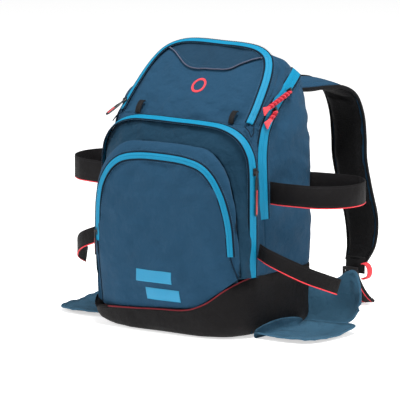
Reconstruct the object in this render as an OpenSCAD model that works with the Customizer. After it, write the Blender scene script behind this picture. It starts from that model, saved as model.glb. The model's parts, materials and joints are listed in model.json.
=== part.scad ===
// Ski boot bag: a backpack with zipped compartments and two open side bays that carry boots.
// Origin: centre of the base's underside. +Z is up, the front pocket faces -Y, straps are at +Y.

/* [Bag] */
// Half of the bag's widest width
half_w = 165; // [160:1:170]
// Y of the back's outer face
back_y = 125; // [122:1:130]
// Y of the wall between the main and the middle compartment
wall_y = -60; // [-62:1:-56]
// Y of the front pocket's outer face
front_y = -128; // [-132:1:-126]
// Height of the hood's top
bag_h = 510; // [505:1:515]
// Thickness of a fabric wall
cloth_t = 3; // [2:0.5:3.5]

/* [Zips] */
// Width of a zip's tape
tape_w = 12; // [10:1:14]
// Thickness of a zip's tape
tape_t = 1.2; // [1:0.1:1.4]
// Gap between parts that move past each other
gap = 0.6; // [0.4:0.1:0.8]

/* [Straps] */
// Width of a shoulder strap
strap_w = 75; // [65:1:80]
// Thickness of a shoulder strap
strap_t = 16; // [12:1:18]
// Width of the webbing
webbing_w = 25; // [20:1:28]
// Thickness of the webbing
webbing_t = 2; // [1.5:0.5:2.5]

/* [Boot bays] */
// How far a boot cradle reaches out from the bag's side
cradle_reach = 125; // [110:1:130]
// Width of the band around a boot's shaft
band_w = 40; // [30:1:42]

/* [Hidden] */

navy = "#2f516a";
dark_navy = "#1d3a4e";
sky = "#10a3cb";
black = "#232124";
red = "#e84a50";
far = 700;
hair = 0.05;                         // gap between touching pieces of one body

// Hood front: a plane that leans back from its lower edge
slope_y = -45;
slope_z = 381;
lean = atan2(120, 129);
panel_len = 168;

// The base's top edge as seen from the side: low in front, high beside the boots
seam = [[-140, 42], [-118, 46], [-105, 80], [-92, 110], [140, 110]];
// The main zip's line as seen from the side, from its lower end to the back's top edge
mouth = [[-24, 212], [-28, 300], [-26, 330], [-20, 364], [-11, 380], [0, 397], [12, 408],
         [31, 419], [58, 433], [91, 446], [126, 455]];

// ---- point helpers ----
function arc(x, y, r, from, to, n = 6) =
    [for (k = [0:n]) [x + r * cos(from + (to - from) * k / n), y + r * sin(from + (to - from) * k / n)]];
// A closed outline from its right half, listed from one end of the centre line to the other
function mirrored(half) =
    concat(half, [for (k = [len(half) - 1:-1:0]) if (half[k][0] > 0.01) [-half[k][0], half[k][1]]]);
function unit(v) = v / norm(v);
// Normal of a polyline at point k, to the left of its direction
function side_of(p, k) =
    let (d = unit(p[min(k + 1, len(p) - 1)] - p[max(k - 1, 0)])) [-d[1], d[0]];
// A band between two offsets of a polyline
function band(p, near, away) = concat(
    [for (k = [0:len(p) - 1]) p[k] + near * side_of(p, k)],
    [for (k = [len(p) - 1:-1:0]) p[k] + away * side_of(p, k)]);

// ---- extrusions of outlines drawn in the three views ----
module from_side(points) {
    translate([-far / 2, 0, 0]) rotate([90, 0, 90]) linear_extrude(far) polygon(points);
}
module from_front(points) {
    translate([0, far / 2, 0]) rotate([90, 0, 0]) linear_extrude(far) polygon(points);
}
module from_top(points) {
    translate([0, 0, -1]) linear_extrude(far) polygon(points);
}
module half_space(side) {
    translate([side > 0 ? 0 : -far, -far / 2, -1]) cube([far, far, far]);
}
// Space between two heights, or between two Y planes
module between_z(low, high) {
    translate([-far / 2, -far / 2, low]) cube([far, far, high - low]);
}
module between_y(low, high) {
    translate([-far / 2, low, -1]) cube([far, high - low, far]);
}

// ---- outlines, each inset by i ----
function front_outline(i) = mirrored(concat(
    [[0, i]], arc(half_w - 28, 24, 24 - i, -90, 0),
    [[half_w - i, 110], [half_w - i, 345], [half_w - 6 - i, 385], [half_w - 12 - i, 412],
     [146 - i, 435], [136 - i, 458], [124 - i, 484 - i / 2], [111 - i, 498 - i / 2],
     [88 - i, bag_h - 3 - i], [0, bag_h - i]]));
function pack_plan(i) = mirrored(concat(
    [[0, wall_y + i], [half_w - i, wall_y + i], [half_w - 3 - i, 20], [half_w - 8 - i, 70]],
    arc(half_w - 50, back_y - 35, 35 - i, 0, 90), [[0, back_y - i]]));
function hood_plan(i) = mirrored(
    [[0, -80], [148 - i, -80], [148 - i, slope_y], [156 - i, -12], [157 - i, 12], [151 - i, 58],
     [139 - i, 94], [122 - i, back_y - i], [0, back_y - i]]);
function middle_plan(i) = mirrored(concat(
    [[0, front_y - 2 + i]], arc(108, front_y + 53, 52 - i, -88, 0, 8),
    [[163 - i, wall_y - 12], [half_w - i, wall_y - gap]], [[0, wall_y - gap]]));
function middle_front(i) = mirrored(concat(
    [[0, 10]], [[160 - i, 10], [162 - i, 110], [half_w - i, 200]],
    arc(half_w - 55, 324, 55 - i, 0, 80, 7), [[0, 379 - i]]));
function middle_side(i) =
    [[wall_y - gap, 0], [wall_y - gap, 379 - i], [wall_y - 6, 377 - i], [-94, 341 - i],
     [-104, 334 - i], [-117 + i / 2, 323 - i], [-123 + i, 302], [front_y + i, 200],
     [front_y + 1 + i, 100], [front_y + 7 + i, 30], [front_y + 7 + i, 0]];
function flap_outline(i) = mirrored(
    [[0, 152 - i], [144 + i, 152 - i], [141 + i, 205], [134 + i, 240], [124 + i, 264],
     [108 + i * 0.8, 288 + i * 0.6], [84 + i * 0.5, 306 + i * 0.9], [50, 314 + i], [0, 316 + i]]);
function panel_outline(i) = mirrored(
    [[0, 2 - i], [135 + i, 2 - i], [131 + i, 60], [125 + i, 100], [114 + i, 136],
     [102 + i * 0.8, 152 + i * 0.6], [78 + i * 0.4, 164 + i * 0.9], [0, panel_len + i]]);

// ---- solid volumes of the compartments, inset by i ----
module pack_volume(i) {
    intersection() {
        from_top(pack_plan(i));
        from_front(front_outline(i));
    }
}
module hood_volume(i, open_front) {
    top = [[75, bag_h - i], [88, bag_h - 2 - i], [back_y - i, 456 - i / 3]];
    front = open_front
        ? [[-200, slope_z], [-200, bag_h - i]]
        : [[slope_y - 6, slope_z - 6], [slope_y, slope_z]];
    intersection() {
        from_top(hood_plan(i));
        from_front(front_outline(i));
        from_side(concat(front, top, [[back_y + 20, 300], [slope_y, 300]]));
    }
}
// Everything above the part of the main zip that runs over the sides' top edges
module above_mouth(shift) {
    start = 4;
    from_side(concat([[-300, mouth[start][1] + shift]],
                     [for (k = [start:len(mouth) - 1]) mouth[k] + [0, shift]],
                     [[200, 456 + shift], [200, far], [-300, far]]));
}
module middle_volume(i) {
    intersection() {
        from_top(middle_plan(i));
        from_front(middle_front(i));
        from_side(middle_side(i));
    }
}
module above_seam(shift) {
    from_side(concat([for (p = seam) p + [0, shift]], [[140, far], [-140, far]]));
}
module on_slope() {
    translate([0, slope_y, slope_z]) rotate([-lean, 0, 0]) children();
}

// ---- base ----
module base_volume(i) {
    union() {
        pack_volume(i);
        intersection() {
            union() {
                from_top(middle_plan(i));
                translate([-half_w + i, wall_y - 2, 0]) cube([2 * half_w - 2 * i, 6, far]);
            }
            from_front(front_outline(i));
            from_side([[front_y + 9 + i, i], [front_y + 7 + i, 30], [front_y + 3 + i, 60], [front_y + i, far],
                       [wall_y + 3, far], [wall_y + 3, i]]);
        }
    }
}
module base_floor() {
    color(black) intersection() {
        base_volume(0);
        between_z(0, cloth_t);
    }
}
module base_wall() {
    difference() {
        base_volume(0);
        base_volume(cloth_t);
        above_seam(0);
        between_z(-1, cloth_t + hair);
    }
}
module base_front() {
    color(black) intersection() {
        base_wall();
        between_y(-far / 2, wall_y - hair);
    }
}
module base_panel() {
    color(black) intersection() {
        base_wall();
        between_y(wall_y, far / 2);
    }
}
module base_piping() {
    color("#6e1e28") intersection() {
        difference() {
            base_volume(-1);
            base_volume(0);
            above_seam(-hair);
        }
        above_seam(-3);
        between_y(-200, wall_y);
    }
}

// ---- back ----
pad_t = 10;
module back_panel() {
    color(black) intersection() {
        pack_volume(0);
        between_y(back_y - cloth_t, back_y);
        between_z(110 + hair, 453);
    }
}
// A rounded slab inside the back, from Y = high_y - t to high_y
module back_slab(width, low, high, high_y, t) {
    r = 30;
    corners = concat(arc(width / 2 - r, high - r, r, 0, 90), arc(-width / 2 + r, high - r, r, 90, 180),
                     arc(-width / 2 + r, low + r, r, 180, 270), arc(width / 2 - r, low + r, r, 270, 360));
    translate([0, high_y, 0]) rotate([90, 0, 0]) linear_extrude(t) polygon(corners);
}
module back_padding() {
    color(black) back_slab(230, 60, 425, back_y - cloth_t - hair, pad_t);
}
module frame_sheet() {
    color("#4a4d50") back_slab(220, 65, 415, back_y - cloth_t - pad_t - 2 * hair, 1.5);
}

// ---- main compartment ----
module side_panel(side) {
    color(navy) intersection() {
        difference() {
            pack_volume(0);
            pack_volume(cloth_t);
            above_mouth(-1);
            translate([-half_w + cloth_t, wall_y - 1, 0]) cube([2 * (half_w - cloth_t), 10, far]);
        }
        half_space(side);
        between_y(wall_y, back_y - cloth_t - hair);
        between_z(110 + hair, 454);
    }
}
module divider_panel() {
    divider_top = 362;
    color(dark_navy) intersection() {
        translate([-half_w + cloth_t + gap, wall_y, cloth_t + gap])
            cube([2 * (half_w - cloth_t - gap), 2, divider_top - cloth_t - gap]);
        from_front(middle_front(cloth_t + gap));
        from_front(front_outline(cloth_t + gap));
    }
}
module main_zip_track(side) {
    color(sky) intersection() {
        difference() {
            pack_volume(-tape_t);
            pack_volume(0);
        }
        from_side(band(mouth, -1.5, -1.5 - tape_w));
        half_space(side);
        between_z(212, 452);
        between_y(-80, back_y - 4);
    }
}

// ---- hood ----
module hood_shell() {
    difference() {
        intersection() {
            hood_volume(0, false);
            above_mouth(gap);
        }
        hood_volume(cloth_t, true);
    }
}
module hood_side(side) {
    color(navy) difference() {
        intersection() {
            hood_shell();
            half_space(side);
        }
        top_region();
    }
}
// Where the top strip runs over the hood from side to side
module top_region() {
    translate([-112, -far / 2, 450]) cube([224, far, far]);
}
module hood_top_strip() {
    color(navy) intersection() {
        hood_shell();
        translate([-112 + hair, -far / 2, 450]) cube([224 - 2 * hair, far, far]);
    }
}
module hood_inner_wall() {
    depth = 34;
    color(dark_navy) intersection() {
        hood_volume(cloth_t + hair, true);
        above_mouth(gap + 3);
        on_slope() translate([-200, depth, -60]) cube([400, 2, 300]);
    }
}
module upper_zip_track() {
    color(sky) on_slope() intersection() {
        translate([0, -hair, 0]) rotate([90, 0, 0]) linear_extrude(tape_t) difference() {
            polygon(panel_outline(tape_w));
            polygon(panel_outline(gap));
        }
        translate([-200, -10, 6]) cube([400, 20, 200]);
    }
}

// ---- upper panel ----
module panel_slab(outline, low, high) {
    on_slope() translate([0, -low, 0]) rotate([90, 0, 0]) linear_extrude(high - low) polygon(outline);
}
module upper_panel() {
    color(navy) panel_slab(panel_outline(0), gap, gap + cloth_t);
}
module yoke_panel() {
    yoke = mirrored([[0, 103], [40, 103], [56, 112], [72, 124], [109, 146], [98, 151], [74, 160],
                     [0, panel_len - 4]]);
    color("#365a74") panel_slab(yoke, gap + cloth_t + hair, gap + cloth_t + 2);
}
module front_mark() {
    color(red) on_slope() translate([0, -gap - cloth_t - hair, 68]) rotate([90, 0, 0])
        linear_extrude(1) difference() {
            circle(r = 16, $fn = 48);
            circle(r = 11, $fn = 48);
        }
}
module loop_tab(side) {
    tab_w = 14;
    tab_h = 20;
    color(black) on_slope() translate([side * 110 - tab_w / 2, -gap - cloth_t - 5 - hair, 8]) difference() {
        cube([tab_w, 5, tab_h]);
        translate([-1, 1.5, 4]) cube([tab_w + 2, 2, tab_h - 8]);
    }
}

// ---- middle section and front pocket ----
pocket_wall_y = -95;
module middle_shell() {
    intersection() {
        difference() {
            middle_volume(0);
            union() {
                middle_volume(cloth_t);
                translate([-half_w + cloth_t, wall_y - 10, 0]) cube([2 * (half_w - cloth_t), 20, 320]);
            }
        }
        above_seam(gap);
    }
}
module middle_gusset() {
    color(dark_navy) intersection() {
        middle_shell();
        between_y(pocket_wall_y, 0);
    }
}
module middle_zip_track() {
    color(sky) intersection() {
        difference() {
            middle_volume(-tape_t);
            middle_volume(0);
        }
        between_y(wall_y - 9, wall_y - gap);
        between_z(112, far);
    }
}
module pocket_back_wall() {
    color(dark_navy) intersection() {
        middle_volume(cloth_t + hair);
        between_y(pocket_wall_y, pocket_wall_y + 2);
        above_seam(gap + 1);
    }
}
module pocket_shell() {
    intersection() {
        middle_shell();
        between_y(-200, pocket_wall_y - hair);
    }
}
module pocket_gusset() {
    color(navy) difference() {
        pocket_shell();
        from_front(flap_outline(gap));
        between_z(0, 150);
    }
}
module pocket_lower_panel() {
    color(navy) intersection() {
        pocket_shell();
        between_z(0, 150 - hair);
    }
}
module pocket_zip_track() {
    color(sky) intersection() {
        difference() {
            middle_volume(-tape_t);
            middle_volume(0);
        }
        difference() {
            from_front(flap_outline(tape_w));
            from_front(flap_outline(gap));
        }
        between_z(154, far);
        between_y(-200, -80);
    }
}
module pocket_mark() {
    color(sky) intersection() {
        difference() {
            middle_volume(-1);
            middle_volume(0);
        }
        union() {
            translate([-48, -200, 94]) cube([86, 100, 16]);
            translate([-48, -200, 66]) cube([58, 100, 16]);
        }
    }
}
module pocket_flap() {
    color(navy) intersection() {
        pocket_shell();
        from_front(flap_outline(0));
    }
}

// ---- sliders and pulls: the tape's surface is at z = 0, the pull hangs along +x ----
pin_z = 6.1;
pin_r = 0.9;
module slider() {
    color(black) {
        translate([-7, -5, tape_t + gap]) cube([14, 10, 1.6]);
        for (y = [-4.6, 3.2]) translate([-2, y, tape_t + gap + 1.6]) cube([4, 1.4, 4]);
        translate([0, -4, pin_z]) rotate([-90, 0, 0]) cylinder(r = pin_r, h = 8, $fn = 24);
    }
}
module pull_eye() {
    difference() {
        union() {
            translate([0, -2.4, pin_z]) rotate([-90, 0, 0]) cylinder(r = 2.2, h = 4.8, $fn = 24);
            translate([0, -2.4, pin_z - 0.9]) cube([7, 4.8, 1.8]);
        }
        translate([0, -3, pin_z]) rotate([-90, 0, 0]) cylinder(r = pin_r + 0.3, h = 6, $fn = 24);
    }
}
module tab_pull(length, tint) {
    color(tint) {
        pull_eye();
        translate([6, -2.8, pin_z - 0.9]) cube([length - 6, 5.6, 1.8]);
    }
}
module cord_pull(length) {
    end_len = 18;
    color(red) {
        pull_eye();
        translate([6, 0, pin_z]) rotate([0, 90, 0]) cylinder(r = 2, h = length - end_len - 6, $fn = 16);
        translate([length - end_len - 1, 0, pin_z - 2]) linear_extrude(4)
            polygon([[0, -2], [end_len, -7], [end_len, 7], [0, 2]]);
    }
}
// Lifts a pull off the fabric by an angle, about its own pin
module lifted(angle) {
    translate([0, 0, pin_z]) rotate([0, -angle, 0]) translate([0, 0, -pin_z]) children();
}
module at_upper_zip() {
    on_slope() translate([-141, -hair, 20]) rotate([0, 20, 0]) rotate([0, 90, -90]) children();
}
module at_main_zip_top() {
    translate([150, 62, 430]) rotate([-74.5, 0, 0]) rotate([0, 90, 0]) children();
}
module at_main_zip_low() {
    translate([157.5, 8, 402]) rotate([-57, 0, 0]) rotate([0, 90, 0]) children();
}
module at_middle_zip() {
    translate([half_w + 0.2, wall_y - 4, 302]) rotate([0, 90, 0]) children();
}
module at_pocket_zip() {
    corner = [-108, front_y + 53];
    turn = 180 + 40;
    translate([corner[0] + 52 * cos(turn), corner[1] + 52 * sin(turn), 170]) rotate([0, 90, turn]) children();
}

// ---- ribbons: a flat band swept along points [x, y, z, width], its width along X ----
function tangent(p, k) =
    let (a = p[max(k - 1, 0)], b = p[min(k + 1, len(p) - 1)]) unit([b[0] - a[0], b[1] - a[1], b[2] - a[2]]);
module sweep_rings(rings) {
    n = len(rings[0]);
    last = len(rings) - 1;
    polyhedron(
        points = [for (r = rings) for (p = r) p],
        faces = concat(
            [[for (k = [0:n - 1]) k]],
            [for (j = [0:last - 1]) for (k = [0:n - 1])
                [j * n + k, (j + 1) * n + k, (j + 1) * n + (k + 1) % n, j * n + (k + 1) % n]],
            [[for (k = [n - 1:-1:0]) last * n + k]]));
}
module ribbon(p, t) {
    sweep_rings([for (k = [0:len(p) - 1])
        let (d = tangent(p, k), m = unit([0, -d[2], d[1]]) * t / 2, w = p[k][3] / 2,
             c = [p[k][0], p[k][1], p[k][2]])
        [c + [w, 0, 0] + m, c + [-w, 0, 0] + m, c + [-w, 0, 0] - m, c + [w, 0, 0] - m]]);
}
// A band swept along points [x, y, z], standing on edge, reaching low[k] below and high[k] above each
module hoop(p, low, high, t) {
    sweep_rings([for (k = [0:len(p) - 1])
        let (d = tangent(p, k), m = unit([-d[1], d[0], 0]) * t / 2,
             down = [0, 0, low[k]], up = [0, 0, high[k]], c = p[k])
        [c + m - down, c - m - down, c - m + up, c + m + up]]);
}
function same(p, value) = [for (q = p) value];
// Mirrors a part that is drawn on the right
module on_side(side) {
    if (side > 0) children();
    else mirror([1, 0, 0]) children();
}

// ---- shoulder straps ----
strap_path = [[88, 138, 432, 70], [92, 170, 431, 73], [97, 215, 422, strap_w], [102, 255, 409, strap_w],
              [106, 285, 388, strap_w], [109, 303, 352, strap_w], [111, 306, 312, strap_w],
              [114, 303, 270, 74], [118, 306, 215, 72], [124, 310, 160, 68], [127, 305, 115, 56],
              [128, 298, 84, 40]];
module shoulder_strap(side) {
    color(black) on_side(side) ribbon(strap_path, strap_t);
}
module strap_yoke() {
    color(black) translate([-128, back_y + hair, 405]) cube([256, 4, 44]);
}
module strap_loop(side) {
    color(red) on_side(side) translate([150, 296, 56]) difference() {
        cube([18, 3, 24]);
        translate([3, -1, 4]) cube([12, 5, 16]);
    }
}
module strap_adjuster(side) {
    color(black) on_side(side) translate([112, 288, 52]) difference() {
        cube([32, 5, 22]);
        translate([3, -1, 4]) cube([26, 7, 3.5]);
        translate([3, -1, 13]) cube([26, 7, 3.5]);
    }
}
tail_path = [[128, 296.5, 71, webbing_w], [129, 300, 48, webbing_w], [132, 309, 24, webbing_w],
             [135, 322, 8, webbing_w], [138, 338, 2, webbing_w]];
module webbing_tail(side) {
    color(black) on_side(side) ribbon(tail_path, webbing_t);
}
anchor_path = [[140, back_y + 1, 66, webbing_w], [139, 150, 50, webbing_w], [136, 190, 38, webbing_w],
               [132, 235, 36, webbing_w], [129, 265, 44, webbing_w], [128, 284, 58, webbing_w]];
module anchor_webbing(side) {
    color(black) on_side(side) ribbon(anchor_path, webbing_t);
}
module haul_loop() {
    loop_path = [for (a = [0:15:180]) [42 * cos(a), back_y + 10, 447 + 30 * sin(a)]];
    color(black) sweep_rings([for (p = loop_path)
        [p + [0, -1.5, 0] * 3, p + [0, 1.5, 0] * 3, p + [0, 1.5, 0] * 3 + unit([p[0], 0, p[2] - 447]) * 3,
         p + [0, -1.5, 0] * 3 + unit([p[0], 0, p[2] - 447]) * 3]]);
}

// ---- boot bays ----
boot_x = 235;
boot_y = 58;
boot_r = 70;
band_z = 258;
module boot_band(side) {
    path = concat([[half_w + 0.8, -14, band_z], [196, -16, band_z]],
                  [for (a = [-75:15:75]) [boot_x + boot_r * cos(a), boot_y + boot_r * sin(a), band_z]],
                  [[200, 121, band_z], [152, 109, band_z]]);
    color(black) on_side(side) hoop(path, same(path, band_w / 2), same(path, band_w / 2), 2);
}
instep_path = [[half_w + 4, -52, 158], [195, -58, 150], [228, -50, 136], [255, -25, 118], [272, 5, 104],
               [280, 35, 92]];
module instep_strap(side) {
    color(black) on_side(side) hoop(instep_path, same(instep_path, 14), same(instep_path, 14), 2);
}
module boot_cradle(side) {
    outline = [[0, -60], [60, -66], [100, -52], [cradle_reach - 5, -20], [cradle_reach, 30],
               [cradle_reach - 14, 70], [80, 92], [0, 92]];
    color("#2d586e") on_side(side) translate([half_w + gap, 0, 0]) linear_extrude(cloth_t) polygon(outline);
}
module heel_panel(side) {
    path = [[149, 109, 0], [178, 126, 0], [210, 138, 0], [236, 138, 0], [256, 124, 0], [268, 104, 0]];
    height = [96, 93, 92, 100, 58, 24];
    color("#2d586e") on_side(side) hoop(path, same(path, 0), height, cloth_t);
}

base_floor();
base_front();
base_panel();
base_piping();
back_panel();
back_padding();
frame_sheet();
side_panel(-1);  // side_panel_left
side_panel(1);  // side_panel_right
divider_panel();
main_zip_track(-1);  // main_zip_track_left
main_zip_track(1);  // main_zip_track_right
strap_yoke();
haul_loop();
hood_side(-1);  // hood_side_left
hood_side(1);  // hood_side_right
hood_top_strip();
hood_inner_wall();
upper_zip_track();
upper_panel();
yoke_panel();
front_mark();
loop_tab(-1);  // loop_tab_left
loop_tab(1);  // loop_tab_right
middle_gusset();
middle_zip_track();
pocket_back_wall();
pocket_gusset();
pocket_lower_panel();
pocket_zip_track();
pocket_mark();
pocket_flap();
at_upper_zip() slider();  // upper_zip_slider
at_upper_zip() lifted(12) tab_pull(46, black);  // upper_zip_pull
at_main_zip_top() slider();  // main_zip_slider_top
at_main_zip_top() lifted(4) cord_pull(94);  // main_zip_pull_top
at_main_zip_low() slider();  // main_zip_slider_low
at_main_zip_low() lifted(4) cord_pull(42);  // main_zip_pull_low
at_middle_zip() slider();  // middle_zip_slider
at_middle_zip() tab_pull(80, black);  // middle_zip_pull
at_pocket_zip() slider();  // pocket_zip_slider
at_pocket_zip() tab_pull(44, black);  // pocket_zip_pull
shoulder_strap(-1);  // shoulder_strap_left
shoulder_strap(1);  // shoulder_strap_right
strap_loop(-1);  // strap_loop_left
strap_loop(1);  // strap_loop_right
strap_adjuster(-1);  // strap_adjuster_left
strap_adjuster(1);  // strap_adjuster_right
webbing_tail(-1);  // webbing_tail_left
webbing_tail(1);  // webbing_tail_right
anchor_webbing(-1);  // anchor_webbing_left
anchor_webbing(1);  // anchor_webbing_right
boot_band(-1);  // boot_band_left
boot_band(1);  // boot_band_right
instep_strap(-1);  // instep_strap_left
instep_strap(1);  // instep_strap_right
boot_cradle(-1);  // boot_cradle_left
boot_cradle(1);  // boot_cradle_right
heel_panel(-1);  // heel_panel_left
heel_panel(1);  // heel_panel_right
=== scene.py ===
import json
import math

import bmesh
import bpy
import numpy as np
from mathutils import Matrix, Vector


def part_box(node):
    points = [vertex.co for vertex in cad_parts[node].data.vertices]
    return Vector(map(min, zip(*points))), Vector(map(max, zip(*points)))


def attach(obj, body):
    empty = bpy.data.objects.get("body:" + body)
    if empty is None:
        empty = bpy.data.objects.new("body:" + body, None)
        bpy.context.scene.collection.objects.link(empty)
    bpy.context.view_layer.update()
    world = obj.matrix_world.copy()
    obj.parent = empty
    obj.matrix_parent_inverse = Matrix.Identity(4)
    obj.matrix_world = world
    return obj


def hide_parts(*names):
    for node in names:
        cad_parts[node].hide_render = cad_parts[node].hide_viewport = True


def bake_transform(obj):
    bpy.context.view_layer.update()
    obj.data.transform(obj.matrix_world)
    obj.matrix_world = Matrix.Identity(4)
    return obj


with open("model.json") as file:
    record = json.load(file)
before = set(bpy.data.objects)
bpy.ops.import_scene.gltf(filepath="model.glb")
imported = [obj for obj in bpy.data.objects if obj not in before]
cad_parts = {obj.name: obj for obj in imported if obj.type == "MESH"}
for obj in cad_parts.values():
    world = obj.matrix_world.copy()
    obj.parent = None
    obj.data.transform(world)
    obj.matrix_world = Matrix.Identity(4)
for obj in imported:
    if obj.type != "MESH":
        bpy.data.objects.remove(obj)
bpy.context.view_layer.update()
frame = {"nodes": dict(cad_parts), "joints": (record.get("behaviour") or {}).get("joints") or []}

# Lengths are in millimetres until a mesh is made. Positions come from the frame's own boxes.
MM = 0.001


def box_mm(node):
    low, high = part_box(node)
    return np.array(low) / MM, np.array(high) / MM


def joint(name):
    return [j for j in frame["joints"] if j["name"] == name][0]


WALL_Y = box_mm("side_panel_right")[0][1]      # the seam between main and middle compartments
BACK_Y = box_mm("back_panel")[1][1]
SLOPE = joint("upper_zip_slide")["axis"]       # up the hood's front
SLOPE_FOOT = (-45.0, 381.0)                    # Y, Z of that plane's lower edge
SIDES = ((-1, "left"), (1, "right"))
X, Y, Z = np.eye(3)
TAPE_W = 13.0
LEFT_TUCK = 14.0                               # how far the pocket narrows above the base's left corner
BASE_TOP = 111.0                               # Z of the base's top edge at the sides and back
CLOTH_T = 1.6
WEBBING_W, WEBBING_T = 25, 2.0
STITCH_SIDES = 5


# ---------------------------------------------------------------- camera, light, floor
def place(name, data, location=(0, 0, 0), aim=None):
    """Adds an object to the scene. A camera or a light is aimed at a point, in metres."""
    obj = bpy.data.objects.new(name, data)
    obj.location = location
    if aim:
        obj.rotation_euler = (Vector(aim) - obj.location).to_track_quat("-Z", "Y").to_euler()
    bpy.context.scene.collection.objects.link(obj)
    return obj


def set_inputs(node, values):
    for socket, value in values.items():
        node.inputs[socket].default_value = value


def add_camera():
    """A long lens far off, a little above the bag's right front."""
    azimuth, elevation, distance = math.radians(36), math.radians(9.9), 14.0
    target = Vector((0.0, 0.0, 0.2255))
    back = Vector((math.sin(azimuth) * math.cos(elevation),
                   -math.cos(azimuth) * math.cos(elevation), math.sin(elevation)))
    data = bpy.data.cameras.new("camera")
    data.lens, data.sensor_width, data.clip_end = 700.0, 36.0, 50.0
    bpy.context.scene.camera = place("camera", data, target + back * distance, target)


def add_stage():
    """A pale floor, an even white sky, and three soft square lights."""
    reach = 12.0
    corners = [(-reach, -reach, 0), (reach, -reach, 0), (reach, reach, 0), (-reach, reach, 0)]
    mesh = bpy.data.meshes.new("floor")
    mesh.from_pydata(corners, [], [(0, 1, 2, 3)])
    material, _, shader = new_material("floor_pale", (0.86, 0.86, 0.86, 1), 0.9)
    set_inputs(shader, {"Emission Color": (1, 1, 1, 1), "Emission Strength": 0.6})
    mesh.materials.append(material)
    place("floor", mesh)
    world = bpy.data.worlds.new("studio")
    world.use_nodes = True
    set_inputs(world.node_tree.nodes["Background"], {"Color": (1, 1, 1, 1), "Strength": 0.24})
    scene = bpy.context.scene
    scene.world, scene.view_settings.view_transform = world, "Standard"
    for name, location, size, energy in (("key", (0.6, -0.3, 3.1), 0.9, 110),
                                         ("fill", (-2.1, -2.4, 1.8), 1.2, 58),
                                         ("rim", (2.7, 0.9, 1.6), 1.0, 34)):
        data = bpy.data.lights.new(name, "AREA")
        data.shape, data.size, data.energy = "SQUARE", size, energy
        place(name, data, location, (0, 0, 0.25))


# ---------------------------------------------------------------- materials
def linear(r, g, b):
    return tuple(((c / 255 + 0.055) / 1.055) ** 2.4 if c > 10 else c / 255 / 12.92 for c in (r, g, b)) + (1,)


def new_material(name, color, roughness, sheen=0.0, specular=0.5):
    mat = bpy.data.materials.new(name)
    mat.use_nodes = True
    tree = mat.node_tree
    shader = tree.nodes["Principled BSDF"]
    set_inputs(shader, {"Base Color": color, "Roughness": roughness, "Sheen Weight": sheen,
                        "Sheen Roughness": 0.4, "Specular IOR Level": specular})
    return mat, tree, shader


def texture(tree, kind, coords, scale):
    node = tree.nodes.new(f"ShaderNodeTex{kind}")
    node.inputs["Scale"].default_value = scale
    tree.links.new(coords, node.inputs["Vector"])
    return node


def threads(tree, coords, pitch, direction):
    """Bands pitch millimetres apart. UVs are in centimetres, and a wave scale of 1 is about 3 cm a band."""
    node = texture(tree, "Wave", coords, 10.0 / pitch / 6.3 * 2)
    node.wave_type, node.bands_direction, node.wave_profile = "BANDS", direction, "SIN"
    return node.outputs["Fac"]


def noise(tree, coords, scale, detail=3.0):
    node = texture(tree, "Noise", coords, scale)
    node.inputs["Detail"].default_value = detail
    return node.outputs["Fac"]


def math_node(tree, operation, a, b):
    node = tree.nodes.new("ShaderNodeMath")
    node.operation = operation
    for socket, value in zip(node.inputs, (a, b)):
        if isinstance(value, (int, float)):
            socket.default_value = value
        else:
            tree.links.new(value, socket)
    return node.outputs[0]


def tint(tree, shader, color, factor, low, high):
    """Base colour from low to high times the colour, as factor goes from 0 to 1."""
    ramp = tree.nodes.new("ShaderNodeMix")
    ramp.data_type = "RGBA"
    ramp.inputs[6].default_value = tuple(c * low for c in color[:3]) + (1,)
    ramp.inputs[7].default_value = tuple(min(1, c * high) for c in color[:3]) + (1,)
    tree.links.new(factor, ramp.inputs["Factor"])
    tree.links.new(ramp.outputs[2], shader.inputs["Base Color"])


def bump(tree, shader, height, strength, distance, under=None):
    """Bumps from a height. under is a coarser bump node that this one lies on."""
    node = tree.nodes.new("ShaderNodeBump")
    set_inputs(node, {"Strength": strength, "Distance": distance})
    tree.links.new(height, node.inputs["Height"])
    if under:
        tree.links.new(under.outputs["Normal"], node.inputs["Normal"])
    tree.links.new(node.outputs["Normal"], shader.inputs["Normal"])
    return node


def coordinates(tree, kind):
    return tree.nodes.new("ShaderNodeTexCoord").outputs[kind]


def mixed(tree, a, b, share):
    """a plus a share of b."""
    return math_node(tree, "ADD", a, math_node(tree, "MULTIPLY", b, share))


def woven(name, color, pitch=0.9, roughness=0.8, sheen=0.03, depth=0.5, mottle=0.22, creases=0.0):
    """Plain-weave cloth: threads pitch millimetres apart both ways, a faintly uneven tone, painted shade
    between the threads, and fine creases.
    """
    mat, tree, shader = new_material(name, color, roughness, sheen, specular=0.12)
    cloth, space = coordinates(tree, "UV"), coordinates(tree, "Object")
    weave = math_node(tree, "MAXIMUM", threads(tree, cloth, pitch, "X"), threads(tree, cloth, pitch, "Y"))
    slub = noise(tree, cloth, 9.0, 2.0)
    # The weave's bands darken the colour between the threads: painted shade. The two noises give the cloth's
    # own faint uneven tone.
    tone_and_thread_shade = mixed(tree, math_node(tree, "MULTIPLY", weave, 0.35), noise(tree, space, 14.0), 0.4)
    tint(tree, shader, color, mixed(tree, tone_and_thread_shade, slub, 0.25), 1 - mottle, 1 + mottle)
    folds = bump(tree, shader, noise(tree, space, 13.0, 5.0), creases, 0.028) if creases else None
    bump(tree, shader, mixed(tree, weave, slub, 0.6), depth, 0.0004, under=folds)
    return mat


def ribbed(name, color, pitch=1.6, roughness=0.6, depth=0.6):
    """Woven webbing: ribs across its length, with a finer weave, painted lighter on the ribs and darker
    between them as painted shade.
    """
    mat, tree, shader = new_material(name, color, roughness, sheen=0.03, specular=0.2)
    cloth = coordinates(tree, "UV")
    height = mixed(tree, threads(tree, cloth, pitch, "X"), threads(tree, cloth, 0.8, "Y"), 0.4)
    # The ribs' height also sets the colour: painted shade between the ribs and a painted highlight on them.
    tint(tree, shader, color, math_node(tree, "MULTIPLY", height, 0.7), 0.7, 1.4)
    bump(tree, shader, height, depth, 0.0006)
    return mat


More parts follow.
